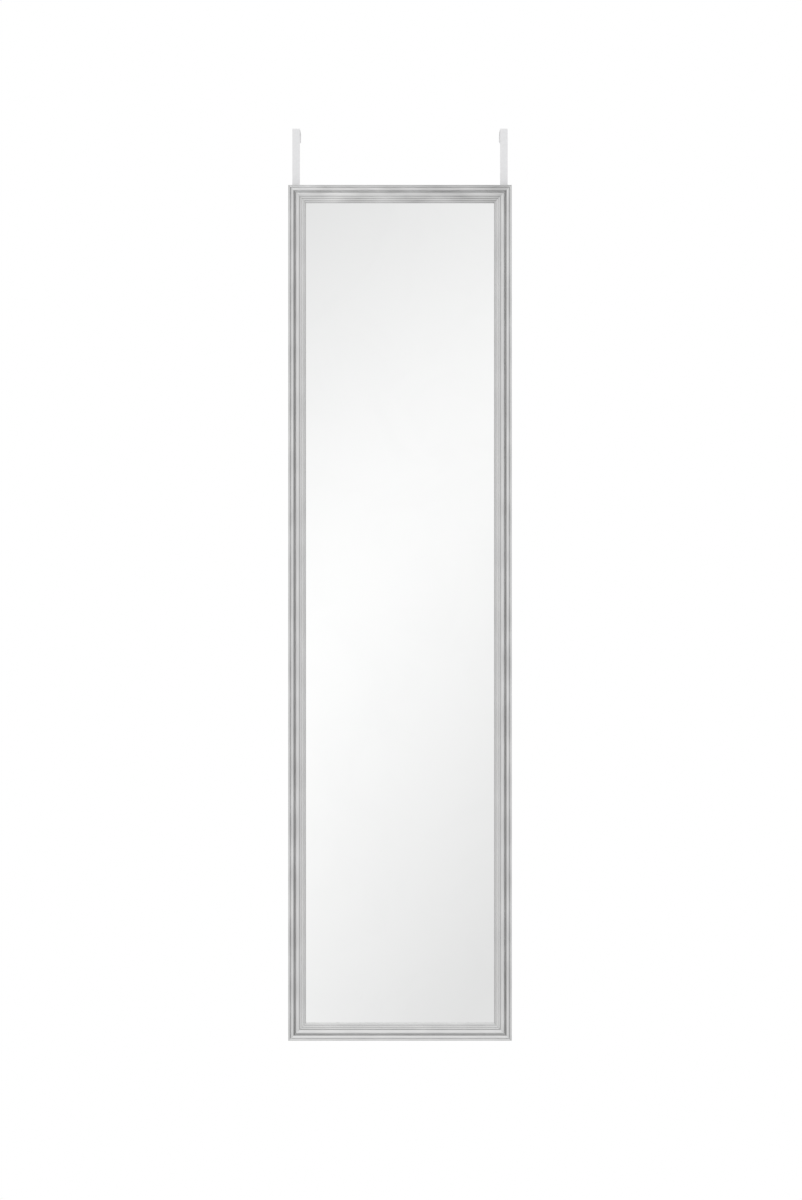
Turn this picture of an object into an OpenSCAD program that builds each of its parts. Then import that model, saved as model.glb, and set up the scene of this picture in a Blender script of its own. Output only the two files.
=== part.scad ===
// Full-length mirror that hangs over the top of a door on two flat steel hooks.
// The front faces -Y, +X is to the right and +Z is up, all in millimetres.
// The origin is the middle of the door's top edge, on the door's front face.

/* [Frame] */
// Width of the frame over its outer edges
frame_w = 356; // [300:1:600]
// Height of the frame over its outer edges
frame_h = 1363; // [900:1:1800]
// Distance from the door's top edge down to the top of the frame
hook_rise = 91.5; // [65:0.5:130]
// Gap between the door's face and the back of the frame
door_gap = 4.5; // [4.1:0.1:8]

/* [Moulding profile, from the outer edge inwards] */
// Width of the outer bead
outer_bead_w = 4; // [3:0.1:6]
// Height of the outer bead's crest above the back
outer_bead_h = 13.6; // [12.5:0.1:16]
// Rise of the outer bead over its shoulders
outer_bead_crown = 1.4; // [0.8:0.1:1.7]
// Width of the main bead
main_bead_w = 5.2; // [4:0.1:8]
// Height of the main bead's crest above the back, which is the moulding's depth
main_bead_h = 15; // [13.5:0.1:18]
// Rise of the main bead over its shoulders
main_bead_crown = 1.6; // [0.8:0.1:2]
// Width of the deep quirk beside the main bead
quirk_w = 2; // [1.2:0.1:3]
// Height of the quirk's floor above the back
quirk_floor_h = 9.8; // [9.2:0.1:11]
// Width of the broad torus
torus_w = 7.05; // [5:0.05:10]
// Height of the torus's crest above the back
torus_h = 14; // [13:0.1:17]
// Rise of the torus over its shoulders
torus_crown = 1.7; // [1:0.1:2.4]
// Number of reeds between the torus and the glass
reed_count = 3; // [2:1:5]
// Width of one reed
reed_w = 3.25; // [2.8:0.05:4]
// Height of the first reed's crest above the back
reed_h = 12.6; // [12:0.1:15]
// Drop from one reed's crest to the next
reed_step = 0.3; // [0:0.05:0.4]
// Rise of a reed over its shoulders
reed_crown = 0.9; // [0.4:0.1:1.2]
// Width of each shallow groove in the back
back_groove_w = 1.6; // [1:0.1:2.4]
// Depth of each shallow groove in the back
back_groove_d = 0.8; // [0.4:0.1:1.2]
// Distance from the edges of the back land to its grooves
back_groove_inset = 1.4; // [1:0.1:2]

/* [Glass and backing] */
// Width of the lip that laps over the edge of the glass
lip_w = 5.4; // [4:0.1:8]
// Depth of the rabbet from the back of the frame to the lip
rabbet_d = 8.4; // [7.6:0.1:9]
// Thickness of the mirror glass
glass_t = 3; // [2:0.5:4]
// Gap between the edge of the glass and the rabbet
glass_clearance = 0.4; // [0.2:0.1:1]
// Width of the ground arris on the edges of the glass
glass_arris = 0.5; // [0.2:0.1:0.8]
// Thickness of the backing board
board_t = 2.5; // [1.5:0.1:3]
// Gap between the edge of the board and the rabbet
board_clearance = 0.9; // [0.3:0.1:1.5]

/* [Retaining points] */
// Width of a retaining point
point_w = 6; // [4:0.5:10]
// Thickness of a retaining point
point_t = 0.5; // [0.3:0.1:0.8]
// Length of a point that is driven into the moulding
point_sunk = 7; // [4:0.5:9]
// Length of a point that lies on the board
point_proud = 9; // [6:0.5:14]
// Widest spacing of the points along a side
point_pitch = 230; // [120:5:400]
// Distance from the frame's corners to the first points
point_margin = 118; // [110:1:150]

/* [Corner nails] */
// Length of each leg of a corner nail
nail_leg = 4.6; // [3:0.1:5]
// Thickness of a corner nail
nail_t = 0.6; // [0.4:0.1:1]
// Depth that a corner nail is driven into the moulding
nail_d = 7; // [5:0.5:7.5]
// Distance of the outer nail from the frame's outer edges
nail_outer_s = 4.5; // [4:0.1:6]
// Distance of the inner nail from the frame's outer edges
nail_inner_s = 14; // [12:0.1:15]

/* [Door hooks] */
// Width of the hook strap
strap_w = 12; // [11:0.5:16]
// Thickness of the hook strap
strap_t = 1.2; // [0.8:0.1:1.6]
// Distance from the frame's outer edge to the middle of the strap
strap_inset = 12; // [9:0.5:13]
// Clear space in the hook, from the strap to its rear lip
hook_throat = 42; // [36:0.5:60]
// Length of the rear lip, from the top of the hook
lip_drop = 16; // [12:0.5:40]
// Inside radius of the hook's bends
bend_r = 1.5; // [0.8:0.1:3]
// Radius of the corners at the ends of the strap
strap_corner_r = 2.5; // [1:0.1:4]
// Gap on each face of the strap where it slides
slide_gap = 0.1; // [0.05:0.01:0.2]
// Travel of the hook each way from its middle height
hook_travel = 13; // [5:0.5:16]
// Width of the slots in the strap
slot_w = 4.4; // [4:0.1:5]
// Gap between the screw and the end of its slot at full travel
slot_end_gap = 0.25; // [0.2:0.05:1]
// Metal left past the lower slot
strap_end = 6; // [4:0.5:12]
// Length of the foam pad on the strap
pad_l = 40; // [20:1:50]
// Distance from the door's top edge to the foam pad
pad_top_gap = 4; // [3:0.5:10]

/* [Hook screws] */
// Diameter of the screw shank
screw_d = 3.5; // [3:0.1:3.9]
// Length of the screw under its head
screw_l = 10; // [8:0.5:10.5]
// Diameter of the screw head
screw_head_d = 7; // [6:0.1:8]
// Height of the screw head
screw_head_h = 2; // [1.5:0.1:2.1]
// Radius of the round edge of the screw head
screw_head_edge = 1.2; // [0.5:0.1:1.4]
// Width of the arms of the cross recess
recess_w = 0.9; // [0.6:0.1:1.2]
// Length of the cross recess from tip to tip
recess_l = 4; // [3:0.1:4.5]
// Depth of the cross recess
recess_d = 1.2; // [0.8:0.1:1.4]
// Outer diameter of the washer
washer_d = 9; // [8:0.1:10.5]
// Thickness of the washer
washer_t = 0.5; // [0.4:0.1:0.8]
// Radial gap between the screw and its washer, and its pilot hole
screw_clearance = 0.05; // [0.02:0.01:0.15]
// Distance from the top of the frame to the upper screw
screw_top = 40; // [36:1:60]
// Distance between the two screws of a hook
screw_pitch = 46; // [42:1:80]

/* [Door bumpers] */
// Diameter of a bumper
bumper_d = 12; // [8:0.5:14]
// Radius of the round edge of a bumper
bumper_edge = 1.2; // [0.5:0.1:2]
// Distance from the frame's bottom edge to the middle of a bumper
bumper_rise = 14; // [9:0.5:30]

/* [Hidden] */

$fn = 48;
past = 1;                      // how far a cut runs past the face that it opens
left = -1;
right = 1;
nail_slope = 0.5;              // how fast the legs of a corner nail spread

torus_s = outer_bead_w + main_bead_w + quirk_w;
reeds_s = torus_s + torus_w;
moulding_w = reeds_s + reed_count * reed_w;
rabbet_s = moulding_w - lip_w;
frame_mid_z = -hook_rise - frame_h / 2;
frame_bottom_z = -hook_rise - frame_h;

glass_w = frame_w - 2 * (rabbet_s + glass_clearance);
glass_h = frame_h - 2 * (rabbet_s + glass_clearance);
board_w = frame_w - 2 * (rabbet_s + board_clearance);
board_h = frame_h - 2 * (rabbet_s + board_clearance);
board_back_h = rabbet_d - glass_t - board_t;

strap_x = frame_w / 2 - strap_inset;
strap_front_y = -door_gap + slide_gap;
strap_rear_y = strap_front_y + strap_t;
washer_front_y = strap_rear_y + slide_gap;
washer_rear_y = washer_front_y + washer_t;
lip_rear_y = strap_rear_y + hook_throat + strap_t;
hook_top_z = strap_t;
slot_l = 2 * (hook_travel + slot_end_gap) + screw_d;
upper_screw_z = -hook_rise - screw_top;
lower_screw_z = upper_screw_z - screw_pitch;
strap_bottom_z = lower_screw_z - slot_l / 2 - strap_end;

// The radius of an arc that rises by crown over a width of chord.
function arc_radius(chord, crown) = (chord * chord / 4 + crown * crown) / (2 * crown);

// How many points a side of this length needs.
function point_count(run) = max(2, ceil((run - 2 * point_margin) / point_pitch) + 1);

// One round bead of the profile, from the back up to its crest.
module bead(start, width, crest, crown) {
    radius = arc_radius(width, crown);
    intersection() {
        translate([start, 0])
            square([width, crest + past]);
        union() {
            translate([start + width / 2, crest - radius])
                circle(radius);
            translate([start - past, 0])
                square([width + 2 * past, crest - radius]);
        }
    }
}

// The moulding's section: X runs from the outer edge to the glass, Y from the back to the front.
module moulding_profile() {
    difference() {
        union() {
            bead(0, outer_bead_w, outer_bead_h, outer_bead_crown);
            bead(outer_bead_w, main_bead_w, main_bead_h, main_bead_crown);
            translate([outer_bead_w + main_bead_w, 0])
                square([quirk_w, quirk_floor_h]);
            bead(torus_s, torus_w, torus_h, torus_crown);
            for (i = [0 : reed_count - 1])
                bead(reeds_s + i * reed_w, reed_w, reed_h - i * reed_step, reed_crown);
        }
        translate([rabbet_s, -past])
            square([lip_w + past, rabbet_d + past]);
        for (s = [back_groove_inset, rabbet_s - back_groove_inset - back_groove_w])
            translate([s, -past])
                square([back_groove_w, back_groove_d + past]);
    }
}

// A length of moulding along +X with a 45 degree mitre at each end, outer edge down.
module mitred_moulding(run) {
    reach = moulding_w + past;
    intersection() {
        rotate([180, -90, 0])
            linear_extrude(height = run)
                moulding_profile();
        rotate([90, 0, 0])
            linear_extrude(height = main_bead_h + past)
                polygon([[-past, -past], [run + past, -past], [run - reach, reach], [reach, reach]]);
    }
}

// Puts what is drawn for the bottom side on the side that lies turn degrees round the frame.
module on_side(turn, run, across) {
    translate([0, 0, frame_mid_z])
        rotate([0, turn, 0])
            translate([-run / 2, -door_gap, -across / 2])
                children();
}

// A piece of the frame with the pockets of all that is driven into it.
module frame_side(turn, run, across) {
    difference() {
        on_side(turn, run, across)
            mitred_moulding(run);
        corner_nails();
        retaining_points();
        for (side = [left, right], z = [upper_screw_z, lower_screw_z])
            screw_hole(side, z);
    }
}

module frame_left_stile() {
    color("silver")
        frame_side(90, frame_h, frame_w);
}

module frame_right_stile() {
    color("silver")
        frame_side(-90, frame_h, frame_w);
}

module frame_top_rail() {
    color("silver")
        frame_side(180, frame_w, frame_h);
}

module frame_bottom_rail() {
    color("silver")
        frame_side(0, frame_w, frame_h);
}

// A bent steel nail over the mitre line, with its point towards the frame's outer corner.
module corner_nail() {
    rise = nail_leg * nail_slope;
    rotate([90, -45, 0])
        linear_extrude(height = nail_d)
            polygon([
                [0, 0], [nail_leg, rise], [nail_leg, rise - nail_t],
                [nail_t / nail_slope, 0], [nail_leg, nail_t - rise], [nail_leg, -rise]
            ]);
}

// Two nails across each of the four mitres, driven in from the back.
module corner_nails() {
    color("dimgray")
        for (turn = [0, 180], flip = [0, 1], s = [nail_outer_s, nail_inner_s])
            on_side(turn, frame_w, frame_h)
                translate([flip * frame_w, 0, 0])
                    mirror([flip, 0, 0])
                        translate([s, 0, s])
                            corner_nail();
}

// A mirror or board with its eight long edges taken off by a bevel.
module bevelled_plate(width, height, thickness, bevel) {
    intersection() {
        linear_extrude(height = height, center = true)
            plate_section(width, thickness, bevel);
        rotate([0, 90, 0])
            linear_extrude(height = width, center = true)
                plate_section(height, thickness, bevel);
    }
}

module plate_section(width, thickness, bevel) {
    x = width / 2;
    y = thickness / 2;
    polygon([
        [-x + bevel, -y], [x - bevel, -y], [x, -y + bevel], [x, y - bevel],
        [x - bevel, y], [-x + bevel, y], [-x, y - bevel], [-x, -y + bevel]
    ]);
}

module mirror_glass() {
    color("lightcyan")
        translate([0, -door_gap - rabbet_d + glass_t / 2, frame_mid_z])
            bevelled_plate(glass_w, glass_h, glass_t, glass_arris);
}

module backing_board() {
    color("peru")
        translate([-board_w / 2, -door_gap - board_back_h - board_t, frame_mid_z - board_h / 2])
            cube([board_w, board_t, board_h]);
}

// A flat steel tab with an arrow tip, lying on the board and driven into the rabbet's wall.
module retaining_point() {
    tip = point_w / 2;
    translate([0, -board_back_h, rabbet_s])
        rotate([90, 0, 0])
            translate([0, 0, -point_t])
                linear_extrude(height = point_t)
                    polygon([
                        [-point_w / 2, point_proud], [-point_w / 2, tip - point_sunk],
                        [0, -point_sunk], [point_w / 2, tip - point_sunk], [point_w / 2, point_proud]
                    ]);
}

module points_on_side(turn, run, across) {
    count = point_count(run);
    step = (run - 2 * point_margin) / (count - 1);
    for (i = [0 : count - 1])
        on_side(turn, run, across)
            translate([point_margin + i * step, 0, 0])
                retaining_point();
}

module retaining_points() {
    color("slategray") {
        points_on_side(0, frame_w, frame_h);
        points_on_side(90, frame_h, frame_w);
        points_on_side(180, frame_w, frame_h);
        points_on_side(270, frame_h, frame_w);
    }
}

// The space under the hook's outer faces, brought in by inset, seen from the side.
module hook_arch(inset) {
    outer_r = bend_r + strap_t;
    width = lip_rear_y - strap_front_y;
    height = hook_top_z - strap_bottom_z;
    translate([strap_front_y, strap_bottom_z]) {
        translate([inset, -inset])
            square([width - 2 * inset, height - outer_r + inset]);
        translate([outer_r, -inset])
            square([width - 2 * outer_r, height]);
        for (y = [outer_r, width - outer_r])
            translate([y, height - outer_r])
                circle(outer_r - inset);
    }
}

// The hook seen from the side: a long front leg, a bridge over the door and a short rear lip.
module hook_side() {
    difference() {
        hook_arch(0);
        hook_arch(strap_t);
        translate([lip_rear_y - strap_t - past, strap_bottom_z - past])
            square([strap_t + 2 * past, hook_top_z - lip_drop - strap_bottom_z + past]);
    }
}

// What rounds off the two lower corners of a strap end, seen from the front.
module strap_end_corners() {
    for (side = [0, 1])
        mirror([side, 0])
            translate([strap_w / 2 - strap_corner_r, 0])
                difference() {
                    translate([0, -past])
                        square([strap_corner_r + past, strap_corner_r + past]);
                    translate([0, strap_corner_r])
                        circle(strap_corner_r);
                }
}

module strap_slot() {
    straight = slot_l - slot_w;
    square([slot_w, straight], center = true);
    for (z = [-straight / 2, straight / 2])
        translate([0, z])
            circle(slot_w / 2);
}

// Cuts a flat shape, drawn from the front, through a wall whose front is at y.
module cut_through(y, thickness) {
    translate([0, y + thickness + past, 0])
        rotate([90, 0, 0])
            linear_extrude(height = thickness + 2 * past)
                children();
}

module hook(side) {
    color("white")
        translate([side * strap_x, 0, 0])
            difference() {
                rotate([90, 0, 90])
                    linear_extrude(height = strap_w, center = true)
                        hook_side();
                cut_through(strap_front_y, strap_t) {
                    translate([0, upper_screw_z])
                        strap_slot();
                    translate([0, lower_screw_z])
                        strap_slot();
                    translate([0, strap_bottom_z])
                        strap_end_corners();
                }
                cut_through(lip_rear_y - strap_t, strap_t)
                    translate([0, hook_top_z - lip_drop])
                        strap_end_corners();
            }
}

module hook_left() {
    hook(left);
}

module hook_right() {
    hook(right);
}

// The foam pad between the strap and the door's face.
module hook_pad(side) {
    color("whitesmoke")
        translate([side * strap_x - strap_w / 2, strap_rear_y, -pad_top_gap - pad_l])
            cube([strap_w, -strap_rear_y, pad_l]);
}

module hook_left_pad() {
    hook_pad(left);
}

module hook_right_pad() {
    hook_pad(right);
}

module screw_hole(side, z) {
    translate([side * strap_x, -door_gap + past, z])
        rotate([90, 0, 0])
            cylinder(h = past + screw_reach(), r = screw_d / 2 + screw_clearance);
}

// How deep a screw reaches into the moulding.
function screw_reach() = screw_l - washer_rear_y - door_gap;

// Half of the screw's outline: its axis is X = 0 and the underside of its head is Y = 0.
module screw_outline() {
    shank = screw_d / 2;
    head = screw_head_d / 2;
    shank_top = screw_head_h / 2;
    polygon([[0, -screw_l], [shank, shank - screw_l], [shank, shank_top], [0, shank_top]]);
    intersection() {
        square([head, screw_head_h]);
        union() {
            square([head, screw_head_h - screw_head_edge]);
            square([head - screw_head_edge, screw_head_h]);
            translate([head - screw_head_edge, screw_head_h - screw_head_edge])
                circle(screw_head_edge);
        }
    }
}

module hook_screws(side) {
    color("gainsboro")
        for (z = [upper_screw_z, lower_screw_z])
            translate([side * strap_x, washer_rear_y, z])
                rotate([-90, 0, 0])
                    difference() {
                        rotate_extrude()
                            screw_outline();
                        for (turn = [0, 90])
                            rotate([0, 0, turn])
                                translate([-recess_l / 2, -recess_w / 2, screw_head_h - recess_d])
                                    cube([recess_l, recess_w, recess_d + past]);
                    }
}

module hook_left_screws() {
    hook_screws(left);
}

module hook_right_screws() {
    hook_screws(right);
}

module hook_washers(side) {
    color("gainsboro")
        for (z = [upper_screw_z, lower_screw_z])
            translate([side * strap_x, washer_rear_y, z])
                rotate([90, 0, 0])
                    difference() {
                        cylinder(h = washer_t, r = washer_d / 2);
                        translate([0, 0, -past])
                            cylinder(h = washer_t + 2 * past, r = screw_d / 2 + screw_clearance);
                    }
}

module hook_left_washers() {
    hook_washers(left);
}

module hook_right_washers() {
    hook_washers(right);
}

// A round-edged bumper that keeps a lower corner of the frame off the door.
module bumper(side) {
    radius = bumper_d / 2;
    color("ghostwhite")
        translate([side * strap_x, -door_gap, frame_bottom_z + bumper_rise])
            rotate([-90, 0, 0])
                rotate_extrude()
                    union() {
                        square([radius, door_gap - bumper_edge]);
                        square([radius - bumper_edge, door_gap]);
                        intersection() {
                            translate([radius - bumper_edge, door_gap - bumper_edge])
                                circle(bumper_edge);
                            square([radius, door_gap]);
                        }
                    }
}

module bumper_left() {
    bumper(left);
}

module bumper_right() {
    bumper(right);
}

frame_left_stile();
frame_right_stile();
frame_top_rail();
frame_bottom_rail();
corner_nails();
mirror_glass();
backing_board();
retaining_points();
hook_left();
hook_right();
hook_left_pad();
hook_right_pad();
hook_left_screws();
hook_right_screws();
hook_left_washers();
hook_right_washers();
bumper_left();
bumper_right();
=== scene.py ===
import math

import bmesh
import bpy
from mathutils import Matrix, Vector


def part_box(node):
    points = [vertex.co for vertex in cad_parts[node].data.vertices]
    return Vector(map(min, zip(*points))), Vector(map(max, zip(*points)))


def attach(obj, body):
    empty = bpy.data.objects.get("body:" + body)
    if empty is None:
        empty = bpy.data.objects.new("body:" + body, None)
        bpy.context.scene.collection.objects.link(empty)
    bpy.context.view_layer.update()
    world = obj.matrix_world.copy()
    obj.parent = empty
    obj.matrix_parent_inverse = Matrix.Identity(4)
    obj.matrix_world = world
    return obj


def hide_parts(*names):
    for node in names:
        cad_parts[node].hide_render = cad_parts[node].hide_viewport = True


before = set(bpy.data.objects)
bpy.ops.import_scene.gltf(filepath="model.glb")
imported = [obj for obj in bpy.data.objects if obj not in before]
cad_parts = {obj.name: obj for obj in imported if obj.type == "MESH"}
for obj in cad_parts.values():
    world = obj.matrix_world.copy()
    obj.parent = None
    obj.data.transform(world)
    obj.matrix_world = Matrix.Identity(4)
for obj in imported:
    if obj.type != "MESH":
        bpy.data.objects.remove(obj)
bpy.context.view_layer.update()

# A tall mirror in a ribbed silver frame, hung over a door on two flat white hooks.
# Metres throughout. The front faces -Y, and the origin is the middle of the door's top edge.
MM = 0.001
X_AXIS = Vector((1, 0, 0))
Y_AXIS = Vector((0, 1, 0))
Z_AXIS = Vector((0, 0, 1))
QUARTER_TURN = math.pi / 2
FULL_TURN = 2 * math.pi
# Points closer than this are merged, and lengths below the next count as nothing. Two directions
# are the same where their cosine is above ALIGNED.
MERGE_WITHIN = 0.001 * MM
NEGLIGIBLE = 0.01 * MM
ALIGNED = 0.999
SHARP_EDGE = math.radians(30)

# ------------------------------------ sizes read from the frame
left_stile_low, left_stile_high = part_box("frame_left_stile")
FRAME_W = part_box("frame_right_stile")[1].x - left_stile_low.x
FRAME_H = left_stile_high.z - left_stile_low.z
FRAME_BACK = left_stile_high.y
FRAME_MID_Z = (left_stile_high.z + left_stile_low.z) / 2
FRAME_MIDDLE = (0, 0, FRAME_MID_Z)
MOULDING_W = left_stile_high.x - left_stile_low.x
MOULDING_D = left_stile_high.y - left_stile_low.y

# ------------------------------------ the moulding's section
# Distances across start at the outer edge, and heights start at the back.
OUTER_BEAD_W = 4.0 * MM
OUTER_BEAD_H = 13.6 * MM
OUTER_BEAD_CROWN = 1.4 * MM
MAIN_BEAD_W = 5.2 * MM
MAIN_BEAD_CROWN = 1.6 * MM
QUIRK_W = 2.0 * MM
QUIRK_FLOOR_H = 9.8 * MM
TORUS_W = 7.05 * MM
TORUS_H = 14.0 * MM
TORUS_CROWN = 1.7 * MM
REED_COUNT = 3
REED_H = 12.6 * MM
REED_STEP = 0.3 * MM
REED_CROWN = 0.9 * MM
LIP_W = 5.4 * MM
RABBET_D = 8.4 * MM
BACK_GROOVE_W = 1.6 * MM
BACK_GROOVE_D = 0.8 * MM
BACK_GROOVE_INSET = 1.4 * MM
SECTION_CORNER = 0.12 * MM
MITRE_EASE = 0.12 * MM
BEAD_STEPS = 14
# A sawn face's normal leans at least this far to an end, and less than this far to the back.
SAWN_LEAN = 0.7
SAWN_TILT = 0.01

QUIRK_S = OUTER_BEAD_W + MAIN_BEAD_W
TORUS_S = QUIRK_S + QUIRK_W
REEDS_S = TORUS_S + TORUS_W
REED_W = (MOULDING_W - REEDS_S) / REED_COUNT
RABBET_S = MOULDING_W - LIP_W
# Each bead's start, width, height at its crest and rise from its edges to its crest.
BEADS = [
    (0.0, OUTER_BEAD_W, OUTER_BEAD_H, OUTER_BEAD_CROWN),
    (OUTER_BEAD_W, MAIN_BEAD_W, MOULDING_D, MAIN_BEAD_CROWN),
    (TORUS_S, TORUS_W, TORUS_H, TORUS_CROWN),
] + [(REEDS_S + i * REED_W, REED_W, REED_H - i * REED_STEP, REED_CROWN) for i in range(REED_COUNT)]

# ------------------------------------ the foil on the moulding
# The dark glaze along the outer rim and in the hollows, set per side so that it also paints the
# shade
# that falls there: where it lies thickest, how far it reaches to each side, and how thick it is on
# the uprights, the top and the bottom, from 0 to 1.
GLAZE_AND_SHADE_LINES = {
    "outer_rim": (1.2 * MM, 1.8 * MM),
    "between_beads": (OUTER_BEAD_W, 1.1 * MM),
    "quirk_outside": (QUIRK_S, 1.1 * MM),
    "quirk_inside": (TORUS_S, 0.3 * MM),
    "before_reeds": (REEDS_S, 1.1 * MM),
    "first_valley": (REEDS_S + REED_W, 1.1 * MM),
    "second_valley": (REEDS_S + 2 * REED_W, 1.1 * MM),
    "beside_glass": (MOULDING_W, 3.2 * MM),
}
UPRIGHT_GLAZE_AND_SHADE = {
    "outer_rim": 0.21, "between_beads": 0.14, "quirk_outside": 0.74, "quirk_inside": 0.0,
    "before_reeds": 0.20, "first_valley": 0.0, "second_valley": 0.0, "beside_glass": 0.36,
}
TOP_GLAZE_AND_SHADE = {
    "outer_rim": 0.18, "between_beads": 0.0, "quirk_outside": 0.0, "quirk_inside": 0.05,
    "before_reeds": 0.05, "first_valley": 0.16, "second_valley": 0.13, "beside_glass": 0.20,
}
BOTTOM_GLAZE_AND_SHADE = {
    "outer_rim": 0.24, "between_beads": 0.19, "quirk_outside": 0.34, "quirk_inside": 0.20,
    "before_reeds": 0.36, "first_valley": 0.30, "second_valley": 0.30, "beside_glass": 0.0,
}
# How much thicker the top rail's glaze is at its right end than at its left: painted shade that
# darkens that end.
TOP_SHADE_GAIN = 0.22
# On the uprights the smoke is calmer from a little past the torus's crest inwards.
CALM_FROM = TORUS_S + 0.6 * TORUS_W
CALM_SMOKINESS = 0.45
# The roller that printed the uprights' foil: its girth, and as angles its start and the most that
# its blotches drift.
ROLLER_GIRTH = 84.1 * MM
ROLLER_START = 3.36
BLOTCH_DRIFT = 3.0

# ------------------------------------ the other pieces
GLASS_ARRIS = 0.5 * MM
BOARD_EASE = 0.35 * MM
STRAP_T = 1.2 * MM
STRAP_BEND_R = 1.5 * MM
STRAP_LIP_L = 16.0 * MM
STRAP_CORNER_R = 2.5 * MM
STRAP_EDGE_R = 0.3 * MM
SLOT_W = 4.4 * MM
SLOT_L = 30.0 * MM
SLOT_END_R = 0.999 * SLOT_W / 2
BEND_STEPS = 10
PAD_EDGE = 0.7 * MM
PAD_CROWN = 0.25 * MM
PAD_CROWN_POWER = 5
PAD_PASSES = 2
PAD_CUTS = 2
SCREW_D = 3.5 * MM
SCREW_CORE_D = 2.5 * MM
SCREW_HEAD_D = 7.0 * MM
SCREW_HEAD_H = 2.0 * MM
SCREW_HEAD_WALL = 0.8 * MM
SCREW_HEAD_EDGE = 1.0 * MM
SCREW_HEAD_BEND = math.radians(70)
SCREW_HEAD_STEPS = 6
SCREW_CROWN_R = 1.4 * MM
SCREW_CROWN_H = 1.96 * MM
SCREW_NECK = 0.6 * MM
SCREW_L = 10.0 * MM
SCREW_TIP = 2.2 * MM
SCREW_TIP_R = 0.3125 * MM
SCREW_TIP_BLUNT = 0.33 * MM
THREAD_ROOT_R = 1.2 * MM
THREAD_PITCH = 1.3 * MM
THREAD_W = 0.7 * MM
THREAD_START = 1.0 * MM
THREAD_TURNS = 5
THREAD_STEPS = 24
RECESS_L = 4.0 * MM
RECESS_W = 0.9 * MM
RECESS_D = 1.2 * MM
RECESS_TAPER = 0.55
# The angles in degrees at which each hook's lower and upper screw came to a stop.
SCREW_STOPS = {"left": (12, 67), "right": (38, 81)}
WASHER_EASE = 0.08 * MM
WASHER_BORE_D = 3.6 * MM
BUMPER_EDGE = 1.3 * MM
BUMPER_DRAFT = 0.25 * MM
BUMPER_STEPS = 8
NAIL_LEG = 4.6 * MM
NAIL_RISE = 2.3 * MM
NAIL_T = 0.6 * MM
NAIL_D = 7.0 * MM
NAIL_PROUD = 0.05 * MM
NAIL_EASE = 0.06 * MM
NAIL_INSETS = (4.5 * MM, 14.0 * MM)
POINT_W = 6.0 * MM
POINT_T = 0.5 * MM
POINT_SUNK = 7.0 * MM
POINT_PROUD = 9.0 * MM
POINT_PITCH = 230 * MM
POINT_MARGIN = 118 * MM
POINT_EASE = 0.1 * MM
LATHE_STEPS = 48

# ------------------------------------ the studio
CAMERA_PLACE = Vector((0.0016, -3.8161, -0.7525))
CAMERA_LENS = 71.57
SENSOR = 36.0
FLOOR_Z = -2.03
FLOOR_R = 2.3
FLOOR_SIDES = 96
FLOOR_GREY = 0.9
FLOOR_ROUGHNESS = 0.8
# The camera sees the floor's shading through this share of white at its middle, and through pure
# white from this far out.
SHADOW_VEIL = 0.5
SHADOW_REACH = 0.95
# Each softbox's place, width, height and watts.
SOFTBOXES = {
    "front_softbox": ((0.0, -2.0, 1.3), 2.2, 1.4, 4),
    "rear_softbox": ((0.0, 2.2, 1.0), 1.6, 1.2, 4),
}
# What the metal and the mirror see is given as shares of white on the display.
DISPLAY_GAMMA = 2.2
GLOW_PEAK = 0.998
GLOW_MOST = 1.02
GLOW_WAIST = 0.0456
GLOW_FALL = 0.9697
GLOW_SHIFT = 0.0262
GLOW_SLANT = 0.8333
GLOW_SIDE_FALL = 0.1725
GLOW_RISE_FALL = 0.135
GLOW_INNER = 0.22
GLOW_OUTER = 0.70
GLOW_FADE = 0.40
LOWEST_AHEAD = 0.05
SEEN_BELOW = 0.88
SEEN_HIGH = 0.90
SEEN_OVERHEAD = 0.70
HIGH_Z = 0.58
OVERHEAD_Z = 0.92
# What lights dull surfaces from all round, as a strength: more of it from ahead and from above.
ROOM_LEVEL = 0.775
ROOM_FROM_AHEAD = 0.20
ROOM_FROM_ABOVE = 0.25


# ------------------------------------ working with edit mode
def clear_selection():
    """Leaves edit mode, with nothing selected."""
    if bpy.context.mode != "OBJECT":
        bpy.ops.object.mode_set(mode="OBJECT")
    bpy.ops.object.select_all(action="DESELECT")


def take_up(piece):
    clear_selection()
    piece.select_set(True)
    bpy.context.view_layer.objects.active = piece


def edit(piece):
    take_up(piece)
    bpy.ops.object.mode_set(mode="EDIT")


def edit_mesh():
    return bmesh.from_edit_mesh(bpy.context.edit_object.data)


def select_whole_mesh():
    bpy.ops.mesh.select_all(action="SELECT")


def select_where(kind, test):
    """In edit mode, selects the vertices, edges or faces that pass the test."""
    bpy.ops.mesh.select_mode(type=kind)
    bpy.ops.mesh.select_all(action="DESELECT")
    mesh = edit_mesh()
    for element in {"VERT": mesh.verts, "EDGE": mesh.edges, "FACE": mesh.faces}[kind]:
        if test(element):
            element.select_set(True)
    bmesh.update_edit_mesh(bpy.context.edit_object.data)


def span(edge):
    return edge.verts[0].co - edge.verts[1].co


def move_selected(shift):
    bpy.ops.transform.translate(value=shift)


def give_selected(piece, slot):
    """Gives the selected faces the material in the piece's slot."""
    piece.active_material_index = slot
    bpy.ops.object.material_slot_assign()


def close_up_mesh():
    """Merges what a spin left double and turns every face outwards."""
    bpy.ops.mesh.select_mode(type="VERT")
    select_whole_mesh()
    bpy.ops.mesh.remove_doubles(threshold=MERGE_WITHIN)
    bpy.ops.mesh.normals_make_consistent(inside=False)


def named(name):
    """The active object, once it and its mesh have got their name."""
    piece = bpy.context.object
    piece.name = name
    piece.data.name = name
    return piece


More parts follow.
